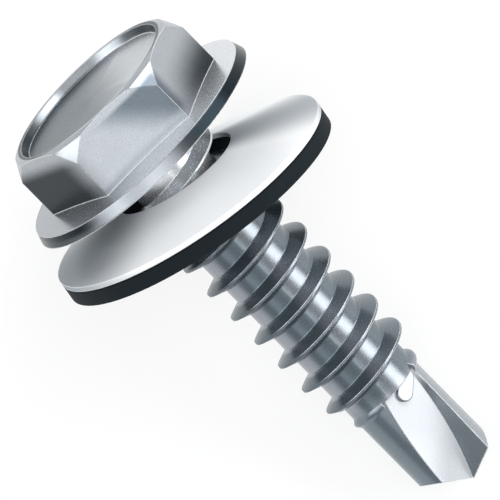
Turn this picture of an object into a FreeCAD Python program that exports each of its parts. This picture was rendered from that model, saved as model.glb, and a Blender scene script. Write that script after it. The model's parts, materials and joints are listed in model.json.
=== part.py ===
# Self drilling screw with its loose bonded sealing washer, lying at rest.
# The screw is one cold formed piece. The washer is a dished steel disc with a rubber ring
# bonded under it. Each piece is built upright about Z, head up, with zero at the bearing
# face under the flange, and is then laid down on the washer's rim and the drill point.
import FreeCAD, Part
import math
import os
import Sketcher

SIZES = {
    # Hexagon head, millimetres and degrees
    "across_flats": 10.0,
    "head_height": 4.2,
    "rim_dia": 9.96,
    "rim_drop": 0.12,
    "crown_dia": 10.5,
    "crown_slope": 28.0,
    "recess_dia": 9.5,
    "recess_floor_dia": 9.1,
    "recess_depth": 0.42,
    # Flange forged under the hexagon
    "flange_dia": 14.5,
    "flange_top_dia": 14.1,
    "flange_edge": 0.62,
    "flange_rise": 0.80,
    # Threaded shank
    "thread_dia": 6.1,
    "core_dia": 4.4,
    "pitch": 1.8,
    "thread_turns": 9.4,
    "thread_first_crest": 0.455,
    "ridge_base": 1.0,
    "ridge_tip": 0.12,
    "ridge_root_sink": 0.12,
    "run_in_start": 0.25,
    "run_in_length": 1.1,
    "run_out_start": 16.9,
    "run_out_length": 0.65,
    # Forged drill point
    "screw_length": 25.0,
    "point_roof_slope": 38.5,
    "point_roof_turn": 22.7,
    "flute_start": 18.2,
    "flute_middle": 22.0,
    "flute_end": 25.25,
    "crease_depth_start": 1.15,
    "crease_depth_middle": 0.78,
    "crease_depth_end": 0.22,
    "crease_side_start": 1.70,
    "crease_side_middle": 1.05,
    "crease_side_end": -0.05,
    "bright_wall_start": 63.5,
    "bright_wall_middle": 61.5,
    "bright_wall_end": 32.0,
    "rake_wall_start": 88.0,
    "rake_wall_middle": 60.5,
    "rake_wall_end": 60.0,
    # Bonded sealing washer
    "washer_dia": 16.2,
    "washer_bore": 6.9,
    "washer_dish": 1.15,
    "disc_thickness": 0.28,
    "ring_thickness": 0.92,
    "ring_flat": 0.08,
    # Where the loose washer hangs on the lying screw
    "washer_place": 2.8,
    "washer_turn": 9.5,
    "washer_lift": 0.32,
    "washer_shift": 0.12,
}

# Cuts reach past the metal sideways and end past it lengthways
CUT_REACH = 3.4
CUT_MARGIN = 1.0

# Search for the lying tilt, in degrees
LEAST_TILT = 1.0
MOST_TILT = 60.0
TILT_STEP = 0.00001

doc = FreeCAD.newDocument("SelfDrillingScrew")


def make_sheet():
    """One row for each size: its name, its value, and the name again as the alias."""
    sheet = doc.addObject("Spreadsheet::Sheet", "Sizes")
    for row, (alias, value) in enumerate(SIZES.items(), start=1):
        sheet.set(f"A{row}", alias)
        sheet.set(f"B{row}", str(value))
        sheet.setAlias(f"B{row}", alias)
    doc.recompute()
    return sheet


def origin_plane(body, role):
    """The body's own origin plane with this role."""
    return next(item for item in body.Origin.OriginFeatures if item.Role == role)


def new_body(label):
    """An empty body whose label is the name of its node."""
    body = doc.addObject("PartDesign::Body", label)
    body.Label = label
    return body


def outline(body, name, role, corners):
    """A closed sketch of straight lines whose corners are pairs of expressions."""
    sketch = body.newObject("Sketcher::SketchObject", name)
    sketch.AttachmentSupport = (origin_plane(body, role), [""])
    sketch.MapMode = "FlatFace"
    # Any open row of corners will do to begin with: the constraints put each in its place
    starts = [FreeCAD.Vector(index + 1, index * index, 0) for index in range(len(corners))]
    for index, start in enumerate(starts):
        sketch.addGeometry(Part.LineSegment(start, starts[(index + 1) % len(starts)]))
    for index in range(len(corners)):
        following = (index + 1) % len(corners)
        sketch.addConstraint(Sketcher.Constraint("Coincident", index, 2, following, 1))
    for index, (across, along) in enumerate(corners):
        place_corner(sketch, index, "DistanceX", starts[index].x, across)
        place_corner(sketch, index, "DistanceY", starts[index].y, along)
    return sketch


def place_corner(sketch, index, kind, value, expression):
    """Hold one coordinate of a sketch corner at an expression of the sheet."""
    number = sketch.addConstraint(Sketcher.Constraint(kind, -1, 1, index, 1, value))
    sketch.setExpression(f"Constraints[{number}]", expression)


def turned(body, name, corners, kind="PartDesign::Revolution"):
    """Turn an outline of radius and height round the screw's axis, to add or to cut."""
    sketch = outline(body, name + "_outline", "XZ_Plane", corners)
    feature = body.newObject(kind, name)
    feature.Profile = sketch
    feature.ReferenceAxis = (sketch, ["V_Axis"])
    feature.Angle = 360
    doc.recompute()
    return feature


def twice_round(body, name, feature):
    """The same cut on both sides of the axis."""
    pattern = body.newObject("PartDesign::PolarPattern", name)
    pattern.Originals = [feature]
    pattern.Axis = (origin_axis(body), [""])
    pattern.Angle = 360
    pattern.Occurrences = 2
    body.Tip = pattern
    doc.recompute()
    return pattern


def origin_axis(body):
    """The body's own Z axis."""
    return next(item for item in body.Origin.OriginFeatures if item.Role == "Z_Axis")


def blank(body):
    """Flange and shank, turned as one; the drill point is as thick as the thread's core."""
    return turned(body, "blank", [
        ("0", "Sizes.flange_rise"),
        ("Sizes.across_flats / 2", "Sizes.flange_rise"),
        ("Sizes.flange_top_dia / 2", "Sizes.flange_edge"),
        ("Sizes.flange_dia / 2", "0"),
        ("Sizes.core_dia / 2", "0"),
        ("Sizes.core_dia / 2", "-Sizes.screw_length"),
        ("0", "-Sizes.screw_length"),
    ])


def hexagon(body):
    """Hexagon with one flat towards +X."""
    half = "Sizes.across_flats / 2"
    side = "Sizes.across_flats / sqrt(12)"
    corner = "Sizes.across_flats / sqrt(3)"
    sketch = outline(body, "hexagon_outline", "XY_Plane", [
        (half, f"-{side}"),
        (half, side),
        ("0", corner),
        (f"-{half}", side),
        (f"-{half}", f"-{side}"),
        ("0", f"-{corner}"),
    ])
    pad = body.newObject("PartDesign::Pad", "hexagon")
    pad.Profile = sketch
    pad.setExpression("Length", "Sizes.head_height")
    doc.recompute()
    return pad


def crown(body):
    """Low cone round the rim, then a steep one that trims only the hexagon's corners."""
    reach = "Sizes.across_flats"
    shoulder = "Sizes.head_height - Sizes.rim_drop"
    drop = f"({reach} - Sizes.crown_dia / 2) / tan(Sizes.crown_slope * 1deg)"
    turned(body, "crown", [
        ("Sizes.rim_dia / 2", "Sizes.head_height"),
        (reach, "Sizes.head_height"),
        (reach, f"{shoulder} - {drop}"),
        ("Sizes.crown_dia / 2", shoulder),
    ], "PartDesign::Groove")


def recess(body):
    """Shallow dished recess that leaves a thin raised rim on the head."""
    floor = "Sizes.head_height - Sizes.recess_depth"
    turned(body, "recess", [
        ("0", "Sizes.head_height"),
        ("Sizes.recess_dia / 2", "Sizes.head_height"),
        ("Sizes.recess_floor_dia / 2", floor),
        ("0", floor),
    ], "PartDesign::Groove")


def thread(body):
    """Right-handed ridge of pointed section, wound down the core."""
    middle = "-Sizes.thread_first_crest"
    root = "Sizes.core_dia / 2 - Sizes.ridge_root_sink"
    sketch = outline(body, "ridge_outline", "XZ_Plane", [
        (root, f"{middle} + Sizes.ridge_base / 2"),
        ("Sizes.thread_dia / 2", f"{middle} + Sizes.ridge_tip / 2"),
        ("Sizes.thread_dia / 2", f"{middle} - Sizes.ridge_tip / 2"),
        (root, f"{middle} - Sizes.ridge_base / 2"),
    ])
    helix = body.newObject("PartDesign::AdditiveHelix", "thread")
    helix.Profile = sketch
    helix.ReferenceAxis = (sketch, ["V_Axis"])
    helix.Mode = "pitch-turns-angle"
    helix.setExpression("Pitch", "Sizes.pitch")
    helix.setExpression("Turns", "Sizes.thread_turns")
    helix.LeftHanded = False
    helix.Reversed = True
    doc.recompute()
    return helix


def run_in_and_out(body):
    """The ridge fades to the core under the flange and before the drill point."""
    core = "Sizes.core_dia / 2"
    crest = "Sizes.thread_dia / 2"
    past = f"({crest} + {CUT_MARGIN})"
    start = "-Sizes.run_in_start"
    slope = f"Sizes.run_in_length / ({crest} - {core})"
    turned(body, "run_in", [
        (core, start),
        (past, start),
        (past, f"{start} - ({past} - {core}) * {slope}"),
    ], "PartDesign::Groove")
    start = "-Sizes.run_out_start"
    end = f"{start} - Sizes.run_out_length"
    turned(body, "run_out", [
        (crest, start),
        (past, start),
        (past, f"{end} - {CUT_MARGIN}"),
        (core, f"{end} - {CUT_MARGIN}"),
        (core, end),
    ], "PartDesign::Groove")


def point_roof(body):
    """Two ground facets that meet in a short chisel edge across the axis."""
    reach = "Sizes.core_dia"
    tip = "-Sizes.screw_length"
    rise = f"{reach} * tan(Sizes.point_roof_slope * 1deg)"
    sketch = outline(body, "point_outline", "XZ_Plane", [
        ("0", tip),
        (reach, f"{tip} + {rise}"),
        (reach, f"{tip} - {CUT_MARGIN}"),
        (f"-{reach}", f"{tip} - {CUT_MARGIN}"),
        (f"-{reach}", f"{tip} + {rise}"),
    ])
    sketch.setExpression("AttachmentOffset.Rotation.Axis.x", "0")
    sketch.setExpression("AttachmentOffset.Rotation.Axis.y", "1")
    sketch.setExpression("AttachmentOffset.Rotation.Axis.z", "0")
    sketch.setExpression("AttachmentOffset.Rotation.Angle", "90deg + Sizes.point_roof_turn * 1deg")
    pocket = body.newObject("PartDesign::Pocket", "point_roof")
    pocket.Profile = sketch
    pocket.Type = "ThroughAll"
    pocket.SideType = "Symmetric"
    doc.recompute()
    return pocket


def flute_section(body, name, station, stage):
    """One section of a flute: a crease with the back wall and the rake wall running out of it."""
    depth = f"Sizes.crease_depth_{stage}"
    side = f"Sizes.crease_side_{stage}"
    bright = f"{side} - ({CUT_REACH} - {depth}) * tan(Sizes.bright_wall_{stage} * 1deg)"
    rake = f"{depth} + ({CUT_REACH} - {side}) / tan(Sizes.rake_wall_{stage} * 1deg)"
    sketch = outline(body, name, "XY_Plane", [
        (depth, side),
        (rake, str(CUT_REACH)),
        (str(CUT_REACH), str(CUT_REACH)),
        (str(CUT_REACH), bright),
    ])
    sketch.setExpression("AttachmentOffset.Base.z", f"-({station})")
    return sketch


def flutes(body):
    """Two chip flutes whose crease runs from the side of the drill to its centre."""
    sections = [
        flute_section(body, "flute_section_start", "Sizes.flute_start", "start"),
        flute_section(body, "flute_section_middle", "Sizes.flute_middle", "middle"),
        flute_section(body, "flute_section_end", "Sizes.flute_end", "end"),
    ]
    loft = body.newObject("PartDesign::SubtractiveLoft", "flute")
    loft.Profile = sections[0]
    loft.Sections = sections[1:]
    doc.recompute()
    return twice_round(body, "flutes", loft)


def make_screw():
    """The one-piece screw, upright, in the order a forged and rolled blank is made."""
    body = new_body("screw")
    blank(body)
    hexagon(body)
    crown(body)
    recess(body)
    point_roof(body)
    thread(body)
    run_in_and_out(body)
    flutes(body)
    return body


def make_disc():
    """Dished steel disc, raised round its bore, with zero at the plane of its upper rim."""
    body = new_body("washer_disc")
    turned(body, "disc", [
        ("Sizes.washer_bore / 2", "Sizes.washer_dish"),
        ("Sizes.washer_dia / 2", "0"),
        ("Sizes.washer_dia / 2", "-Sizes.disc_thickness"),
        ("Sizes.washer_bore / 2", "Sizes.washer_dish - Sizes.disc_thickness"),
    ])
    return body


def make_ring():
    """Rubber ring bonded under the disc, following its dish, pressed flat where it stands."""
    body = new_body("sealing_ring")
    under = "Sizes.disc_thickness"
    depth = "(Sizes.disc_thickness + Sizes.ring_thickness)"
    turned(body, "ring", [
        ("Sizes.washer_bore / 2", f"Sizes.washer_dish - {under}"),
        ("Sizes.washer_dia / 2", f"-{under}"),
        ("Sizes.washer_dia / 2", f"-{depth}"),
        ("Sizes.washer_bore / 2", f"Sizes.washer_dish - {depth}"),
    ])
    rim = "-Sizes.washer_dia / 2"
    across = "Sizes.ring_flat / cos(Sizes.lying_tilt * 1deg)"
    along = "Sizes.ring_flat / sin(Sizes.lying_tilt * 1deg)"
    sketch = outline(body, "standing_flat_outline", "XZ_Plane", [
        (f"{rim} + 2 * {across}", f"-{depth} - {along}"),
        (f"{rim} - {across}", f"-{depth} + 2 * {along}"),
        (f"{rim} - {across}", f"-{depth} - {along}"),
    ])
    pocket = body.newObject("PartDesign::Pocket", "standing_flat")
    pocket.Profile = sketch
    pocket.Type = "ThroughAll"
    pocket.SideType = "Symmetric"
    doc.recompute()
    return body


def screw_turn(tilt):
    """Lay the upright screw down, its head towards -X and raised by the tilt."""
    return FreeCAD.Rotation(FreeCAD.Vector(0, 1, 0), tilt - 90)


def washer_turn(tilt):
    """The washer leans like the screw and is also turned about the vertical."""
    return FreeCAD.Rotation(FreeCAD.Vector(0, 0, 1), -SIZES["washer_turn"]) * screw_turn(tilt)


def washer_base(tilt):
    """Where the disc's zero point lies, measured from the screw's zero point."""
    thickness = SIZES["disc_thickness"] + SIZES["ring_thickness"]
    bore_middle = FreeCAD.Vector(0, 0, SIZES["washer_dish"] - thickness / 2)
    on_axis = screw_turn(tilt) * FreeCAD.Vector(0, 0, -SIZES["washer_place"])
    slack = FreeCAD.Vector(0, SIZES["washer_shift"], SIZES["washer_lift"])
    return on_axis + slack - washer_turn(tilt) * bore_middle


def washer_foot(tilt):
    """Height of the rubber rim's lowest point, measured from the screw's zero point."""
    thickness = SIZES["disc_thickness"] + SIZES["ring_thickness"]
    rim_middle = washer_base(tilt) + washer_turn(tilt) * FreeCAD.Vector(0, 0, -thickness)
    radius = SIZES["washer_dia"] / 2
    return rim_middle.z - radius * math.cos(math.radians(tilt)) + SIZES["ring_flat"]


def point_foot(corners, tilt):
    """Height of the drill point's lowest corner, measured from the screw's zero point."""
    return min((screw_turn(tilt) * corner).z for corner in corners)


def resting_tilt(screw):
    """The tilt at which the washer's rim and the drill point touch one level surface."""
    corners = [vertex.Point for vertex in screw.Shape.Vertexes if vertex.Z < -SIZES["flute_middle"]]
    low = LEAST_TILT
    high = MOST_TILT
    while high - low > TILT_STEP:
        middle = (low + high) / 2
        if point_foot(corners, middle) > washer_foot(middle):
            low = middle
        else:
            high = middle
    return low, -point_foot(corners, low)


def note_tilt(sheet, tilt):
    """Keep the tilt that was worked out with the other sizes."""
    row = len(SIZES) + 1
    sheet.set(f"A{row}", "lying_tilt")
    sheet.set(f"B{row}", f"{tilt:.6f}")
    sheet.setAlias(f"B{row}", "lying_tilt")
    doc.recompute()


def lay_down(screw, washer, tilt, height):
    """Lay the pieces on the level Z = 0 and centre the whole over the origin."""
    rest = FreeCAD.Vector(0, 0, height)
    screw.Placement = FreeCAD.Placement(rest, screw_turn(tilt))
    for body in washer:
        body.Placement = FreeCAD.Placement(rest + washer_base(tilt), washer_turn(tilt))
    doc.recompute()
    box = FreeCAD.BoundBox()
    for body in (screw, *washer):
        box.add(body.Shape.optimalBoundingBox(False, False))
    to_middle = FreeCAD.Vector(-box.Center.x, -box.Center.y, -box.ZMin)
    for body in (screw, *washer):
        body.Placement.Base = body.Placement.Base + to_middle
    doc.recompute()


def check(bodies):
    """Stop before writing if a feature failed or a piece isn't one valid solid."""
    for item in doc.Objects:
        if "Invalid" in item.State or "Error" in item.State:
            raise RuntimeError(f"{item.Name}: {item.State}")
    for body in bodies:
        shape = body.Shape
        if shape.isNull() or not shape.isValid() or len(shape.Solids) != 1:
            raise RuntimeError(f"{body.Label} is not one valid solid")


def main():
    sheet = make_sheet()
    screw = make_screw()
    tilt, height = resting_tilt(screw)
    note_tilt(sheet, tilt)
    disc = make_disc()
    ring = make_ring()
    lay_down(screw, (disc, ring), tilt, height)
    bodies = (screw, disc, ring)
    check(bodies)
    os.makedirs("parts", exist_ok=True)
    for body in bodies:
        body.Shape.exportStep(f"parts/{body.Label}.step")
        base = body.Placement.Base
        print(f"{body.Label}: {body.Shape.Volume:.2f} mm3, zero at {base.x:.4f} {base.y:.4f} {base.z:.4f}")
    print(f"tilt {tilt:.4f} degrees")


main()
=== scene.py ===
# %% [markdown]
# A self drilling screw fastens roof sheet to steel and drills its own hole. It is one
# forged piece: a hexagon head with a flange, a rolled thread and a drill point. A dished
# washer with a bonded rubber ring hangs loose on its shank. The CAD model already has all
# of these forms, so this lesson loads it as a fixed frame and spends its time on the
# finishes, the light and the camera.

# %% Load the frame
import json
import math

import bpy
from mathutils import Matrix, Vector


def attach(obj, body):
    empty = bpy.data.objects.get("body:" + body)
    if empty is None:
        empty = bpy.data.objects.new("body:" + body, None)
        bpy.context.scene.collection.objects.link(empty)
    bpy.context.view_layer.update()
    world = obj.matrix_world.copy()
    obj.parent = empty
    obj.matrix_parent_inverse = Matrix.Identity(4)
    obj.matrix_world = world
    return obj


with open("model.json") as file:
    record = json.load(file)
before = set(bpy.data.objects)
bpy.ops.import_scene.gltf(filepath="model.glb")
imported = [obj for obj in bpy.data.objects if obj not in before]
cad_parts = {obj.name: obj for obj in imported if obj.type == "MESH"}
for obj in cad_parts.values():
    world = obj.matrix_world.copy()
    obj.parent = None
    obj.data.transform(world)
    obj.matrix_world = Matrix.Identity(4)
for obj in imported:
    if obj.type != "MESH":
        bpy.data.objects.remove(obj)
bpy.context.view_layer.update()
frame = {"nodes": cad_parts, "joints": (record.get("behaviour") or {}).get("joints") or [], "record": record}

MM = 0.001

# %% [markdown]
# The screw lies on the washer's rim and the drill point, so its axis leans a little. Every
# finish here follows that axis, as the forming dies and the thread rolls did. The joint
# that lets the washer slide runs along it, so the direction is read from the joint instead
# of being typed in.

# %% The direction of the screw's axis
slide = next(joint for joint in frame["joints"] if joint["name"] == "washer_slide")
towards_head = Vector(slide["axis"]).normalized()
print("Lean of the screw in degrees:", round(math.degrees(math.asin(towards_head.z)), 2))

# %% [markdown]
# Colours are easiest to choose as sRGB hex values, the way a colour picker shows them, but
# a shader works in linear light. One function turns the first into the second.

# %% Colour helper


def linear(hex_colour):
    """Linear RGBA of an sRGB hex colour such as A8AEB3."""
    channels = [int(hex_colour[start:start + 2], 16) / 255 for start in (0, 2, 4)]
    return [
        value / 12.92 if value <= 0.04045 else ((value + 0.055) / 1.055) ** 2.4
        for value in channels
    ] + [1.0]


print("Half way up the picker's scale is this much light:", round(linear("808080")[0], 2))

# %% [markdown]
# A node tree is a list of nodes with settings and links between them. Written out by hand
# each node takes four or five lines, so one small function adds a node, sets its
# properties and fills its sockets with a number, a colour or another node's output. A
# socket is named by its label, or by an underscore and its number where labels repeat.

# %% Node helper


def add_node(tree, kind, settings=None, **sockets):
    """Add one node; settings are its properties, sockets are values or outputs to link."""
    node = tree.nodes.new(kind)
    for name, value in (settings or {}).items():
        setattr(node, name, value)
    for name, value in sockets.items():
        number = name[1:]
        socket = node.inputs[int(number) if number.isdigit() else name.replace("_", " ")]
        if isinstance(value, bpy.types.NodeSocket):
            tree.links.new(value, socket)
        else:
            socket.default_value = value
    return node


def new_material(name):
    """An empty material with its node tree and its output node."""
    material = bpy.data.materials.new(name)
    material.use_nodes = True
    material.node_tree.nodes.clear()
    return material, material.node_tree


# %% [markdown]
# Both metals and the rubber need to know where a point lies along an axis: the head's
# stamped recess, for one, ends at a certain height. The model's own coordinates are turned
# into that height with a dot product, from a point and a direction that the frame gives.

# %% Height and radius about an axis


def along(tree, vector, direction):
    """Output that says how far a vector reaches along a fixed direction."""
    return add_node(
        tree, "ShaderNodeVectorMath", {"operation": "DOT_PRODUCT"}, _0=vector, _1=tuple(direction),
    ).outputs["Value"]


def about_axis(tree, axis, zero):
    """Outputs of the shaded point: its height along an axis, its radius, and its place."""
    place = add_node(tree, "ShaderNodeTexCoord").outputs["Object"]
    about = add_node(
        tree, "ShaderNodeVectorMath", {"operation": "SUBTRACT"}, _0=place, _1=tuple(zero),
    ).outputs[0]
    across = add_node(
        tree, "ShaderNodeVectorMath", {"operation": "CROSS_PRODUCT"}, _0=about, _1=tuple(axis),
    )
    radius = add_node(tree, "ShaderNodeVectorMath", {"operation": "LENGTH"}, _0=across.outputs[0])
    return along(tree, about, axis), radius.outputs["Value"], about


# %% [markdown]
# Some finishes belong to one part of the screw only, and a mask says where: 1 on the part,
# 0 away from it. A step rises smoothly between two values, such as two heights, and a band
# rises over one pair of them and ends softly at a third. Masks are multiplied where all of
# them must hold, and the largest is taken where one is enough.

# %% Masks
SOFT_END = 0.8 * MM


def metres(stretch):
    """A stretch in metres, from millimetres."""
    return [place * MM for place in stretch]


def step(tree, value, start, end):
    """Output that goes smoothly from 0 at start to 1 at end."""
    return add_node(
        tree, "ShaderNodeMapRange", {"interpolation_type": "SMOOTHSTEP"},
        Value=value, From_Min=start, From_Max=end,
    ).outputs["Result"]


def joined(tree, operation, masks):
    """Masks joined one after another into a single one."""
    mask = masks[0]
    for other in masks[1:]:
        mask = add_node(
            tree, "ShaderNodeMath", {"operation": operation}, _0=mask, _1=other,
        ).outputs[0]
    return mask


def all_masks(tree, *masks):
    """Mask where every one of the masks holds."""
    return joined(tree, "MULTIPLY", masks)


def any_mask(tree, *masks):
    """Mask where at least one of the masks holds."""
    return joined(tree, "MAXIMUM", masks)


def weakened_by(tree, mask, amount):
    """1 where the mask is 0, and less by the amount where it holds."""
    return add_node(
        tree, "ShaderNodeMath", {"operation": "MULTIPLY_ADD"}, _0=mask, _1=-amount, _2=1.0,
    ).outputs[0]


def band(tree, value, start, full, end):
    """Mask that rises from start to full and is gone again at end."""
    soft = math.copysign(SOFT_END, end - start)
    return all_masks(tree, step(tree, value, start, full), step(tree, value, end, end - soft))


# %% [markdown]
# Both sides of the screw are painted darker, most of all one: painted shade. The mask for it
# is the cosine of the angle round the axis: the part of a point's place that lies sideways,
# divided by its radius. It rises from 0 at one cosine to 1 at another, and a second cosine
# past 1 leaves the mask weaker than full. The same masks also place painted light on one
# side of the flange. The names that end in SIDE hold such pairs.

# %% The sides with painted shade
# Painted shade lies darkest on this side of the screw.
painted_shade_side = Vector((0, 0, 1)).cross(towards_head).normalized()
print("The wet side looks along:", [round(part, 2) for part in painted_shade_side])


def painted_side_shading(tree, place, radius, start, end, both=False):
    """Mask for painted shade and painted light between two cosines of the angle to the painted shade side;
    both means either side.
    """
    cosine = add_node(
        tree, "ShaderNodeMath", {"operation": "DIVIDE"},
        _0=along(tree, place, painted_shade_side), _1=radius,
    ).outputs[0]
    if both:
        cosine = add_node(
            tree, "ShaderNodeMath", {"operation": "ABSOLUTE"}, _0=cosine,
        ).outputs[0]
    return step(tree, cosine, start, end)


# %% [markdown]
# Every sharp edge gets a painted highlight, a bright line in its colour. The Bevel node gives
# the normal that an edge would have if it were rounded; where that differs from the true
# normal there is an edge, so their dot product makes a mask for the painted highlight.

# %% Painted highlights on edges
EDGE_ROUND = 0.11 * MM
EDGE_SAMPLES = 12
FLAT_COSINE = 0.96
EDGE_COSINE = 0.80
# The painted edge highlight starts at this turn.
print("Wear starts at a turn in degrees of:", round(math.degrees(math.acos(FLAT_COSINE))))


def rounded_edges(tree):
    """The rounded normal, and a mask for the painted highlight, 1 on an edge and 0 away from it."""
    bevel = add_node(tree, "ShaderNodeBevel", {"samples": EDGE_SAMPLES}, Radius=EDGE_ROUND)
    rounded = bevel.outputs["Normal"]
    plain = add_node(tree, "ShaderNodeNewGeometry").outputs["Normal"]
    same = add_node(
        tree, "ShaderNodeVectorMath", {"operation": "DOT_PRODUCT"}, _0=rounded, _1=plain,
    )
    mask = add_node(
        tree, "ShaderNodeMapRange",
        Value=same.outputs["Value"], From_Min=FLAT_COSINE, From_Max=EDGE_COSINE,
    )
    return rounded, mask.outputs["Result"]


# %% [markdown]
# Bright zinc plating is a thin electroplated layer with a clear bluish passivation. It is
# a metal, so the colour is what it reflects: a cool mid grey. The plating copies the
# forged steel under it, whose surface has faint ripples a few tenths of a millimetre
# across, and the layer itself has a grain of a few hundredths, which is drawn a little
# coarser here so that it shows.
#
# The finish is built in layers over the plain plating, each a mask and the colour that it
# brings, and most of these layers are painted light and painted shade. Places along the
# screw are given in millimetres below the top of its head, and names that end in EDGE hold
# millimetres from the axis.

# %% Layers of a finish
mounts = {mount["name"]: mount for mount in frame["record"]["mounts"]}
drive = mounts["hexagon_drive"]
HEAD_TOP = (Vector(mounts["head_top"]["pos_m"]) - Vector(drive["pos_m"])).dot(towards_head)
print("Head top above the middle of the flats in mm:", round(HEAD_TOP / MM, 2))


def heights(stretch):
    """Heights above the middle of the flats, in metres, of a stretch below the head's top."""
    return [HEAD_TOP - depth for depth in metres(stretch)]


def layered(tree, colour, layers):
    """The colour of a finish with layers over it, each a mask and a hex colour."""
    for mask, hex_colour in layers:
        colour = add_node(
            tree, "ShaderNodeMix", {"data_type": "RGBA"},
            _0=mask, _6=colour, _7=linear(hex_colour),
        ).outputs[2]
    return colour


# %% [markdown]
# The head first. Its darkest colour is painted shade: both ends of the rim round the
# recess, the flats on the two sides and the flange's rim. The neck and the flange's upper
# face stay out of it.

# %% Painted shade on the head
HEAD_RIM = (0.45, 0.35)
CROWN_EDGE = (4.96, 4.92)
RIM_END_SIDE = (0.35, 0.95)
LEFT_FLAT = (0.3, 1.3, 4.6)
LEFT_FLAT_SIDE = (0.36, 0.75)
RIGHT_FLAT = (0.8, 3.0, 5.2)
RIGHT_FLAT_SIDE = (-0.35, -1.04)
FLANGE_EDGE = (7.03, 7.07)
FLANGE_LEFT_SIDE = (0.0, 1.1)
FLANGE_RIGHT_SIDE = (0.1, -0.4)
OFF_NECK_EDGE = (3.3, 3.6)
FLANGE_TOP_SPARED = 0.95


def painted_shade_on_head(tree, height, radius, about, flange_top):
    """Mask of the painted shade on the head."""
    # Painted shade at both ends of the recess rim, on the side flats and on the flange's rim.
    rim_ends = all_masks(
        tree, painted_side_shading(tree, about, radius, *RIM_END_SIDE, both=True),
        step(tree, height, *heights(HEAD_RIM)), step(tree, radius, *metres(CROWN_EDGE)),
    )
    left_flat = all_masks(
        tree, painted_side_shading(tree, about, radius, *LEFT_FLAT_SIDE),
        band(tree, height, *heights(LEFT_FLAT)),
    )
    right_flat = all_masks(
        tree, painted_side_shading(tree, about, radius, *RIGHT_FLAT_SIDE),
        band(tree, height, *heights(RIGHT_FLAT)),
    )
    side_flats = all_masks(
        tree, any_mask(tree, left_flat, right_flat),
        weakened_by(tree, flange_top, FLANGE_TOP_SPARED),
        step(tree, radius, *metres(OFF_NECK_EDGE)),
    )
    flange_sides = any_mask(
        tree, painted_side_shading(tree, about, radius, *FLANGE_LEFT_SIDE),
        painted_side_shading(tree, about, radius, *FLANGE_RIGHT_SIDE),
    )
    flange_rim = all_masks(tree, step(tree, radius, *metres(FLANGE_EDGE)), flange_sides)
    return any_mask(tree, rim_ends, flange_rim, side_flats)


# %% [markdown]
# The recess is painted paler than the faces round it: painted light. On its floor, and
# aslant on the middle flat, painted shade makes it darker, while the neck and one side of
# the flange's upper face are painted pale, painted light as well. That face is told from
# the flats by the way it looks: along the axis.

# %% Layers of the head
RECESS_WALL = (0.7, 0.6)
RECESS_EDGE = (4.61, 4.56)
PAINTED_FLOOR_SHADE = (-3.0, 0.8, 5.6)
MIDDLE_FLAT = (0.3, 0.6, 3.4)
MIDDLE_FLAT_SIDE = (0.64, 0.52)
SLANTED_PAINTED_SHADE = (0.3, -2.2)
NECK = (4.2, 4.3, 7.6)
NECK_EDGE = (3.6, 3.3)
FLANGE_TOP = (2.4, 2.6)
PAINTED_LIGHT_FLANGE_SIDE = (0.5, 0.0)
LOOKS_ALONG = (0.5, 0.8)


def head_layers(tree, height, radius, about, facing):
    """Masks and colours of painted light and shade on the recess, the middle flat, the neck and the flange.
    """
    aside = along(tree, about, painted_shade_side)
    # Painted light: the recess is painted paler.
    recess = all_masks(
        tree, step(tree, height, *heights(RECESS_WALL)), step(tree, radius, *metres(RECESS_EDGE)),
    )
    # Painted shade in a band across the recess floor.
    painted_floor_shade = all_masks(tree, recess, band(tree, aside, *metres(PAINTED_FLOOR_SHADE)))
    # Painted shade aslant on the middle flat.
    slant = add_node(tree, "ShaderNodeMath", {"operation": "SUBTRACT"}, _0=aside, _1=height)
    painted_flat_shade = all_masks(
        tree, step(tree, slant.outputs[0], *metres(SLANTED_PAINTED_SHADE)),
        painted_side_shading(tree, about, radius, *MIDDLE_FLAT_SIDE, both=True),
        band(tree, height, *heights(MIDDLE_FLAT)),
    )
    # Painted light: the neck is painted pale.
    neck = all_masks(
        tree, band(tree, height, *heights(NECK)), step(tree, radius, *metres(NECK_EDGE)),
    )
    flange_top = all_masks(
        tree, step(tree, along(tree, facing, towards_head), *LOOKS_ALONG),
        step(tree, height, *heights(FLANGE_TOP)),
    )
    # Painted light on one side of the flange's upper face.
    painted_light_flange = all_masks(
        tree, flange_top, painted_side_shading(tree, about, radius, *PAINTED_LIGHT_FLANGE_SIDE),
    )
    # Painted shade at the ends of the head.
    dark = painted_shade_on_head(tree, height, radius, about, flange_top)
    return [
        (recess, "CCD0D4"), (painted_floor_shade, "5F6A71"), (painted_flat_shade, "656E76"),
        (neck, "E2E5E8"), (painted_light_flange, "DCDFE2"), (dark, "1F282E"),
    ]


# %% [markdown]
# On the shank the thread is painted a shade darker, painted shade that tones its highlights
# down, and painted shade lies darker still on one side of the ridge, in a band along the
# root, on the right side, on the heel of the point and in the flutes. The wide wall of each
# flute gets a painted highlight. That wall is known by the way it looks: to one side of the
# axis or, on the other flute, to the opposite side.

# %% Layers of the shank
THREAD = (6.6, 7.4, 22.6)
POINT = (21.0, 22.0)
HEEL = (21.6, 22.6)
FLUTE = (22.0, 22.4)
ROOT_STRIPE = (-0.6, 0.3, 1.9)
CREST_EDGE = (2.3, 2.5)
FLUTE_EDGE = (2.19, 2.16)
LEFT_SIDE = (0.1, 0.75)
RIGHT_SIDE = (-0.35, -0.9)
HEEL_SIDE = (0.05, 0.5)
LOOKS_LIKE_WALL = (0.72, 0.86)
WALL_UP = 0.895
WALL_ASIDE = 0.446
upward = Vector((towards_head.z, 0, -towards_head.x))
wall_normal = (upward * WALL_UP + Vector((0, WALL_ASIDE, 0))).normalized()
print("The flute's wall looks along:", [round(part, 2) for part in wall_normal])


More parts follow.
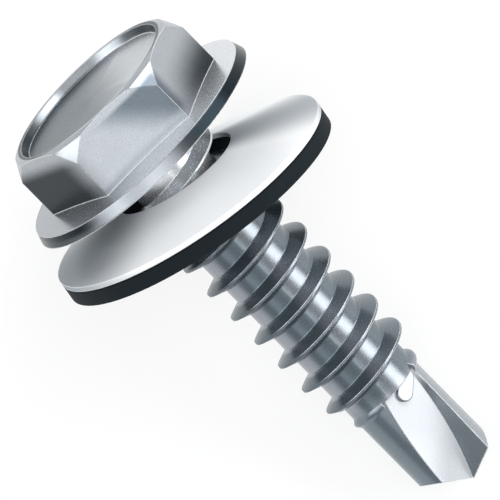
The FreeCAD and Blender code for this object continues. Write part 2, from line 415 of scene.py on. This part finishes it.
def shank_masks(tree, height, radius, about, facing):
    """Masks of the shank's parts for painted shade and painted highlight, by name."""
    thread = band(tree, height, *heights(THREAD))
    crest = step(tree, radius, *metres(CREST_EDGE))
    right = all_masks(tree, painted_side_shading(tree, about, radius, *RIGHT_SIDE), thread)
    heel = all_masks(
        tree, painted_side_shading(tree, about, radius, *HEEL_SIDE), step(tree, height, *heights(HEEL)),
    )
    stripe = band(tree, along(tree, about, painted_shade_side), *metres(ROOT_STRIPE))
    flute = all_masks(
        tree, step(tree, height, *heights(FLUTE)), step(tree, radius, *metres(FLUTE_EDGE)),
    )
    either_way = add_node(
        tree, "ShaderNodeMath", {"operation": "ABSOLUTE"}, _0=along(tree, facing, wall_normal),
    )
    # Painted shade: thread, side, root, ridge and flute; painted highlight: wall.
    return {
        "thread": thread,
        "side": any_mask(tree, right, heel),
        "root": all_masks(tree, stripe, thread),
        "ridge": all_masks(tree, painted_side_shading(tree, about, radius, *LEFT_SIDE), crest, thread),
        "flute": flute,
        "wall": all_masks(tree, step(tree, either_way.outputs[0], *LOOKS_LIKE_WALL), flute),
        "off_root": any_mask(tree, crest, step(tree, height, *heights(POINT))),
    }


# %% [markdown]
# Last the plating itself. Every layer goes over the one before it, and the painted edge
# highlights over all, though hardly on the dark ridge and not in the root. Where an edge or
# a flute's wall carries a painted highlight, it also scatters light, so less of the surface
# is treated as metal there.

# %% Zinc plated forged steel
FORGING_RIPPLE = 0.6 * MM
PLATING_GRAIN = 0.09 * MM
RIPPLE_DEPTH = 0.01 * MM
RIDGE_SPARED = 0.9
WALL_SCATTER = 0.8
METAL_SHARE = 0.8
PAINTED_HIGHLIGHT_METAL_SHARE = 0.1


def zinc_plated_steel():
    """Forged and rolled steel, electroplated with zinc and passivated, with painted light and shade."""
    material, tree = new_material("zinc_plated_steel_forged")
    coordinates = add_node(tree, "ShaderNodeTexCoord").outputs
    place, facing = coordinates["Object"], coordinates["Normal"]
    ripple = add_node(
        tree, "ShaderNodeTexNoise", Vector=place, Scale=1 / FORGING_RIPPLE, Detail=2.0,
    )
    grain = add_node(
        tree, "ShaderNodeTexNoise", Vector=place, Scale=1 / PLATING_GRAIN, Detail=1.0,
    )
    plating = add_node(
        tree, "ShaderNodeMix", {"data_type": "RGBA"},
        _0=ripple.outputs["Fac"], _6=linear("A2A7AC"), _7=linear("A9AEB3"),
    )
    rounded, edge = rounded_edges(tree)
    height, radius, about = about_axis(tree, towards_head, drive["pos_m"])
    shank = shank_masks(tree, height, radius, about, facing)
    # Painted highlight along the edges, hardly on the ridge and not in the root.
    painted_edge_highlight = all_masks(
        tree, edge, weakened_by(tree, shank["ridge"], RIDGE_SPARED), shank["off_root"],
    )
    # Layers of painted light and shade; the last is the painted edge highlight.
    colour = layered(tree, plating.outputs[2], head_layers(tree, height, radius, about, facing) + [
        (shank["thread"], "949AA0"), (shank["side"], "747E85"), (shank["root"], "6C777E"),
        (shank["ridge"], "5C676E"), (shank["flute"], "7E868C"), (shank["wall"], "C2C6CA"),
        (painted_edge_highlight, "EEF1F3"),
    ])
    gloss = add_node(
        tree, "ShaderNodeMapRange", Value=grain.outputs["Fac"], To_Min=0.26, To_Max=0.28,
    )
    dents = add_node(
        tree, "ShaderNodeBump",
        Height=ripple.outputs["Fac"], Strength=0.05, Distance=RIPPLE_DEPTH, Normal=rounded,
    )
    # The painted highlight on the flute's wall also scatters more light.
    painted_wall_highlight = add_node(
        tree, "ShaderNodeMath", {"operation": "MULTIPLY"}, _0=shank["wall"], _1=WALL_SCATTER,
    )
    share = add_node(
        tree, "ShaderNodeMapRange", Value=any_mask(tree, painted_edge_highlight, painted_wall_highlight.outputs[0]),
        To_Min=METAL_SHARE, To_Max=PAINTED_HIGHLIGHT_METAL_SHARE,
    )
    metal = add_node(
        tree, "ShaderNodeBsdfPrincipled",
        Base_Color=colour, Metallic=share.outputs["Result"], Roughness=gloss.outputs["Result"],
        Specular_IOR_Level=0.2, Normal=dents.outputs["Normal"],
    )
    add_node(tree, "ShaderNodeOutputMaterial", Surface=metal.outputs["BSDF"])
    return material


# %% [markdown]
# The washer's disc is blanked from zinc coated sheet and pressed into a dish. The coat on
# sheet is matter and paler than the plating on the screw, so part of the light leaves it
# evenly in all directions: the metallic value stays well under 1. A faint polish runs round
# the bore. Such a round polish stretches a highlight outwards into a fan, which an
# anisotropic metal gives when its tangent runs round the axis: the cross product of axis
# and normal. The spangle is as large as zinc crystals on real sheet, and the polish is
# drawn a little coarser than real so that it shows. The washer's two ends across the screw
# are painted darker, painted shade as on the screw's sides, and its edges get a painted
# highlight.

# %% Zinc coated pressed sheet
SPANGLE = 1.5 * MM
POLISH_SPACING = 0.12 * MM
PAINTED_SHADE_END_SIDE = (0.42, 1.0)
FAR_END_SIDE = (-0.84, -1.08)
bore_axis = -Vector(mounts["sealing_face"]["axis"])


def zinc_coated_sheet():
    """Pressed sheet steel with a matt zinc coat."""
    material, tree = new_material("zinc_plated_steel_sheet_pressed")
    place = add_node(tree, "ShaderNodeTexCoord").outputs["Object"]
    cloud = add_node(tree, "ShaderNodeTexNoise", Vector=place, Scale=1 / SPANGLE, Detail=2.0)
    grain = add_node(
        tree, "ShaderNodeTexNoise", Vector=place, Scale=1 / POLISH_SPACING, Detail=1.0,
    )
    rounded, edge = rounded_edges(tree)
    coat = add_node(
        tree, "ShaderNodeMix", {"data_type": "RGBA"},
        _0=cloud.outputs["Fac"], _6=linear("F4F6F7"), _7=linear("F8F9FA"),
    )
    _, radius, about = about_axis(tree, bore_axis, mounts["sealing_face"]["pos_m"])
    # Painted shade at the washer's two ends across the screw.
    ends = any_mask(
        tree, painted_side_shading(tree, about, radius, *PAINTED_SHADE_END_SIDE),
        painted_side_shading(tree, about, radius, *FAR_END_SIDE),
    )
    # The edge mask brings a painted highlight along the disc's edges.
    colour = layered(tree, coat.outputs[2], [(ends, "868E95"), (edge, "F6F8F9")])
    gloss = add_node(
        tree, "ShaderNodeMapRange", Value=grain.outputs["Fac"], To_Min=0.42, To_Max=0.48,
    )
    normal = add_node(tree, "ShaderNodeNewGeometry").outputs["Normal"]
    round_bore = add_node(
        tree, "ShaderNodeVectorMath", {"operation": "CROSS_PRODUCT"},
        _0=tuple(bore_axis), _1=normal,
    )
    tangent = add_node(
        tree, "ShaderNodeVectorMath", {"operation": "NORMALIZE"}, _0=round_bore.outputs[0],
    )
    metal = add_node(
        tree, "ShaderNodeBsdfPrincipled",
        Base_Color=colour, Metallic=0.18, Roughness=gloss.outputs["Result"],
        Anisotropic=0.5, Tangent=tangent.outputs[0], Normal=rounded,
    )
    add_node(tree, "ShaderNodeOutputMaterial", Surface=metal.outputs["BSDF"])
    return material


# %% [markdown]
# The sealing ring is EPDM rubber, moulded and vulcanised onto the disc. It is a dark
# bluish grey with a dull skin: rubber of this kind has an IOR near 1.5 and a roughness
# above a half, and a fine mould texture of a little over a tenth of a millimetre. A thin
# black line of painted shadow runs where its rim meets the disc.

# %% Vulcanised rubber
MOULD_TEXTURE = 0.15 * MM
MOULD_CLOUD = 3 * MM
MOULD_DEPTH = 0.01 * MM
SHADOW_LINE_HEIGHT = (0.80, 0.86)
SHADOW_LINE_EDGE = (8.0, 8.05)


def epdm_rubber():
    """EPDM rubber, vulcanised, with a fine mould texture."""
    material, tree = new_material("epdm_rubber_vulcanised")
    place = add_node(tree, "ShaderNodeTexCoord").outputs["Object"]
    skin = add_node(
        tree, "ShaderNodeTexNoise", Vector=place, Scale=1 / MOULD_TEXTURE, Detail=3.0,
    )
    cloud = add_node(tree, "ShaderNodeTexNoise", Vector=place, Scale=1 / MOULD_CLOUD, Detail=2.0)
    tone = add_node(
        tree, "ShaderNodeMix", {"data_type": "RGBA"},
        _0=cloud.outputs["Fac"], _6=linear("12181C"), _7=linear("1A2227"),
    )
    height, radius, _ = about_axis(tree, bore_axis, mounts["sealing_face"]["pos_m"])
    # Painted shadow: a thin black line where the ring's rim meets the disc.
    painted_shadow_line = all_masks(
        tree, step(tree, height, *metres(SHADOW_LINE_HEIGHT)), step(tree, radius, *metres(SHADOW_LINE_EDGE)),
    )
    texture = add_node(
        tree, "ShaderNodeBump",
        Height=skin.outputs["Fac"], Strength=0.3, Distance=MOULD_DEPTH,
    )
    rubber = add_node(
        tree, "ShaderNodeBsdfPrincipled",
        Base_Color=layered(tree, tone.outputs[2], [(painted_shadow_line, "06080A")]), Roughness=0.7,
        IOR=1.5, Specular_IOR_Level=0.1, Normal=texture.outputs["Normal"],
    )
    add_node(tree, "ShaderNodeOutputMaterial", Surface=rubber.outputs["BSDF"])
    return material


# %% [markdown]
# The CAD meshes stay as they are. Only the material in each of their slots changes.

# %% Dress the three pieces
finishes = {
    "screw": zinc_plated_steel(),
    "washer_disc": zinc_coated_sheet(),
    "sealing_ring": epdm_rubber(),
}
for node, material in finishes.items():
    for place in frame["nodes"][node].material_slots:
        place.material = material
    print(node, "has the finish", material.name)

# %% [markdown]
# Where the thread meets the drill point, the rolls leave traces that are too small for the
# CAD model: the ridge runs out in a low last turn, and forging pushes a flat tongue of
# steel over the start of the flute. They are meshes of their own in the screw's finish and
# ride with the screw. Places are given as the screw's maker would: an angle round the axis,
# a depth below the flange, and a radius.

# %% Places on the screw
FLANGE_BELOW_DRIVE = 2.5 * MM
below_flange = Vector(drive["pos_m"]) - towards_head * FLANGE_BELOW_DRIVE


def on_screw(out, aside, depth):
    """World place of a point in the screw's own axes, in metres; depth is below the flange."""
    return below_flange + upward * out + Vector((0, aside, 0)) - towards_head * depth


def new_trace(name, places, faces):
    """A mesh that belongs to the screw, in its finish."""
    mesh = bpy.data.meshes.new(name)
    mesh.from_pydata([tuple(place) for place in places], [], faces)
    trace = bpy.data.objects.new(name, mesh)
    bpy.context.scene.collection.objects.link(trace)
    mesh.materials.append(finishes["screw"])
    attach(trace, "screw")
    print(name, "has", len(mesh.polygons), "faces")


# %% [markdown]
# The last turn of the ridge follows three stations, each with its angle in degrees and its
# depth and crest radius in millimetres. Between them a pointed section is carried along in
# small steps from a root just inside the core, so one function makes both the end of the
# thread and the low ridge on the heel of the drill point.

# %% The ridge runs out
RIDGE_STEPS = 36
RIDGE_HALF_BASE = 0.42 * MM
RIDGE_HALF_TIP = 0.06 * MM
RIDGE_ROOT = 2.12 * MM
THREAD_END = [(-108, 17.19, 2.62), (-205, 17.68, 2.56), (-302, 18.16, 2.42)]
HEEL_RIDGE = [(-14, 18.26, 2.22), (-90, 18.62, 2.40), (-150, 18.90, 2.16)]


def between(stations, share):
    """Angle, depth and crest radius at a share of the way along the stations."""
    spot = share * (len(stations) - 1)
    index = min(int(spot), len(stations) - 2)
    return [a + (b - a) * (spot - index) for a, b in zip(stations[index], stations[index + 1])]


def run_out(name, stations):
    """A low pointed ridge wound round the core through the stations."""
    places = []
    for number in range(RIDGE_STEPS + 1):
        angle, depth, crest = between(stations, number / RIDGE_STEPS)
        section = [
            (RIDGE_ROOT, -RIDGE_HALF_BASE), (crest * MM, -RIDGE_HALF_TIP),
            (crest * MM, RIDGE_HALF_TIP), (RIDGE_ROOT, RIDGE_HALF_BASE),
        ]
        around = math.radians(angle)
        places += [
            on_screw(radius * math.cos(around), radius * math.sin(around), depth * MM + drop)
            for radius, drop in section
        ]
    faces = [
        (low + side, low + (side + 1) % 4, low + 4 + (side + 1) % 4, low + 4 + side)
        for low in range(0, 4 * RIDGE_STEPS, 4) for side in range(4)
    ]
    last = 4 * RIDGE_STEPS
    faces += [(3, 2, 1, 0), (last, last + 1, last + 2, last + 3)]
    new_trace(name, places, faces)


run_out("thread_run_out", THREAD_END)
run_out("heel_ridge", HEEL_RIDGE)

# %% [markdown]
# The tongue lies on the wall of the flute: a flat strip with round ends whose upper edge is
# drawn in a little, like any edge of pressed steel.

# %% The forged tongue
TONGUE_LENGTH = 1.75 * MM
TONGUE_WIDTH = 0.92 * MM
TONGUE_THICKNESS = 0.18 * MM
TONGUE_CHAMFER = 0.05 * MM
ROUND_STEPS = 12


def tongue(middle, along, off_wall):
    """A strip with round ends, centred on a point of the flute's wall."""
    over = off_wall.cross(along)
    outlines = (
        (0.0, -TONGUE_THICKNESS / 2),
        (0.0, TONGUE_THICKNESS - TONGUE_CHAMFER),
        (TONGUE_CHAMFER, TONGUE_THICKNESS),
    )
    places = []
    for inset, lift in outlines:
        end_radius = TONGUE_WIDTH / 2 - inset
        for end in (1, -1):
            for number in range(ROUND_STEPS + 1):
                turn = math.pi * (number / ROUND_STEPS - 0.5)
                reach = end * (TONGUE_LENGTH / 2 - TONGUE_WIDTH / 2 + end_radius * math.cos(turn))
                across = end * end_radius * math.sin(turn)
                places.append(middle + along * reach + over * across + off_wall * lift)
    ring = 2 * (ROUND_STEPS + 1)
    faces = [
        (low + spot, low + (spot + 1) % ring, low + ring + (spot + 1) % ring, low + ring + spot)
        for low in (0, ring) for spot in range(ring)
    ]
    faces += [tuple(range(2 * ring, 3 * ring)), tuple(reversed(range(ring)))]
    new_trace("forged_tongue", places, faces)


tongue_middle = on_screw(1.49 * MM, 0.955 * MM, 18.47 * MM)
tongue_end = on_screw(2.15 * MM, -0.375 * MM, 19.54 * MM)
tongue(tongue_middle, (tongue_end - tongue_middle).normalized(), wall_normal)

# %% [markdown]
# The screw lies on a plain pale floor, wide enough that no view from low down sees its
# edge close by. A white floor is also most of what polished metal shows, because every
# face that leans more than 45 degrees away from the camera mirrors it. To the camera and
# in reflections part of the paper glows white, and the rest still takes the shadow.

# %% Floor
FLOOR_HALF_WIDTH = 2.0
GLOW_SHARE = 0.72


def pale_floor():
    """One level square under the screw, as a mesh of its own."""
    corners = [(-1, -1), (1, -1), (1, 1), (-1, 1)]
    mesh = bpy.data.meshes.new("floor")
    places = [(x * FLOOR_HALF_WIDTH, y * FLOOR_HALF_WIDTH, 0.0) for x, y in corners]
    mesh.from_pydata(places, [], [(0, 1, 2, 3)])
    floor = bpy.data.objects.new("floor", mesh)
    bpy.context.scene.collection.objects.link(floor)
    material, tree = new_material("matt_white_paper")
    paper = add_node(
        tree, "ShaderNodeBsdfPrincipled",
        Base_Color=linear("F8F8F8"), Roughness=0.9, Specular_IOR_Level=0.1,
    )
    glow = add_node(tree, "ShaderNodeEmission", Color=linear("FFFFFF"), Strength=1.0)
    path = add_node(tree, "ShaderNodeLightPath").outputs
    seen = any_mask(
        tree, path["Is Camera Ray"], path["Is Glossy Ray"], path["Is Transmission Ray"],
    )
    share = add_node(tree, "ShaderNodeMath", {"operation": "MULTIPLY"}, _0=seen, _1=GLOW_SHARE)
    surface = add_node(
        tree, "ShaderNodeMixShader",
        _0=share.outputs[0], _1=paper.outputs["BSDF"], _2=glow.outputs[0],
    )
    add_node(tree, "ShaderNodeOutputMaterial", Surface=surface.outputs[0])
    mesh.materials.append(material)
    print("Width of the floor in metres:", 2 * FLOOR_HALF_WIDTH)


pale_floor()

# %% [markdown]
# Metal shows the room. A dim room above gives the shank its dark band, which painted shade
# along the root makes darker, and large soft lamps give it the bright ones, so what matters
# is the direction of each lamp as the camera sees it mirrored in the metal.

# %% The room
ROOM_ABOVE = 0.30
ROOM_LEVEL = 0.45
NEAR_HORIZON = 0.1
NEAR_ZENITH = 0.95


def studio_room():
    """A world that is dim overhead and paler towards the horizon."""
    world = bpy.data.worlds.new("studio_room")
    bpy.context.scene.world = world
    world.use_nodes = True
    tree = world.node_tree
    tree.nodes.clear()
    direction = add_node(tree, "ShaderNodeTexCoord").outputs["Generated"]
    height = add_node(tree, "ShaderNodeSeparateXYZ", Vector=direction).outputs["Z"]
    level = add_node(
        tree, "ShaderNodeMapRange", {"interpolation_type": "SMOOTHSTEP"},
        Value=height, From_Min=NEAR_HORIZON, From_Max=NEAR_ZENITH,
        To_Min=ROOM_LEVEL, To_Max=ROOM_ABOVE,
    )
    light = add_node(
        tree, "ShaderNodeBackground", Color=linear("F4F8FC"), Strength=level.outputs["Result"],
    )
    add_node(tree, "ShaderNodeOutputWorld", Surface=light.outputs["Background"])
    print("Light of the room, level and above:", ROOM_LEVEL, ROOM_ABOVE)


studio_room()

# %% [markdown]
# Each lamp is a square of even light, placed by the compass direction and the height it
# shines from, and aimed at the screw. Its power is worked out from how bright the square
# itself looks, because that is what the metal mirrors.

# %% Lamps
LAMP_DISTANCE = 0.40
LOOKED_AT = Vector((0.0, 0.0, 8 * MM))


def softbox(name, compass, height, width, brightness):
    """A square lamp; compass is degrees from +X towards +Y, height is above the horizon."""
    around = math.radians(compass)
    up = math.radians(height)
    level = math.cos(up)
    direction = Vector((level * math.cos(around), level * math.sin(around), math.sin(up)))
    light = bpy.data.lights.new(name, "AREA")
    light.shape = "SQUARE"
    light.size = width
    light.energy = brightness * math.pi * width * width
    lamp = bpy.data.objects.new(name, light)
    bpy.context.scene.collection.objects.link(lamp)
    lamp.location = LOOKED_AT + direction * LAMP_DISTANCE
    lamp.rotation_euler = direction.to_track_quat("Z", "Y").to_euler()
    print(name, "power in watts:", round(light.energy, 2))


softbox("top_softbox", compass=0, height=88, width=0.30, brightness=1.9)
softbox("key_softbox", compass=58, height=28, width=0.20, brightness=4.0)
softbox("tip_softbox", compass=0, height=56, width=0.09, brightness=2.8)
softbox("right_head_softbox", compass=112, height=32, width=0.30, brightness=4.0)
softbox("left_head_softbox", compass=-120, height=32, width=0.26, brightness=2.8)
softbox("left_fill_softbox", compass=-80, height=48, width=0.30, brightness=1.3)

# %% [markdown]
# The picture was taken from far off with a long lens, almost straight down on the lying
# screw. Four angles and distances fix the camera: the compass and height it looks from,
# its roll, and how many pixels a millimetre covers. They come from fitting the edges of
# the head, the washer and the thread's crests to the picture.

# %% Camera
IMAGE_WIDTH = 500
SENSOR_WIDTH = 36.0
CAMERA_DISTANCE = 1.0
CAMERA_REACH = 10.0
CAMERA_COMPASS = math.radians(130.25)
CAMERA_HEIGHT = math.radians(87.20)
CAMERA_ROLL = math.radians(-84.43)
PIXELS_PER_MM = 19.375
OFF_CENTRE = (18.36, 26.33)


def picture_camera():
    """A long-lens camera whose frame matches the picture's."""
    level = math.cos(CAMERA_HEIGHT)
    back = Vector((
        level * math.sin(CAMERA_COMPASS),
        -level * math.cos(CAMERA_COMPASS),
        math.sin(CAMERA_HEIGHT),
    ))
    flat_right = Vector((math.cos(CAMERA_COMPASS), math.sin(CAMERA_COMPASS), 0.0))
    flat_up = back.cross(flat_right)
    right = flat_right * math.cos(CAMERA_ROLL) + flat_up * math.sin(CAMERA_ROLL)
    up = flat_up * math.cos(CAMERA_ROLL) - flat_right * math.sin(CAMERA_ROLL)
    data = bpy.data.cameras.new("picture_camera")
    data.sensor_width = SENSOR_WIDTH
    data.lens = PIXELS_PER_MM / MM * CAMERA_DISTANCE * SENSOR_WIDTH / IMAGE_WIDTH
    data.clip_end = CAMERA_REACH
    camera = bpy.data.objects.new("picture_camera", data)
    bpy.context.scene.collection.objects.link(camera)
    aside, above = (pixels * MM / PIXELS_PER_MM for pixels in OFF_CENTRE)
    camera.matrix_world = Matrix.Translation(
        LOOKED_AT + back * CAMERA_DISTANCE - right * aside + up * above
    ) @ Matrix((right, up, back)).transposed().to_4x4()
    bpy.context.scene.camera = camera
    print("Lens in mm:", round(data.lens))


picture_camera()
bpy.context.scene.view_settings.view_transform = "Standard"
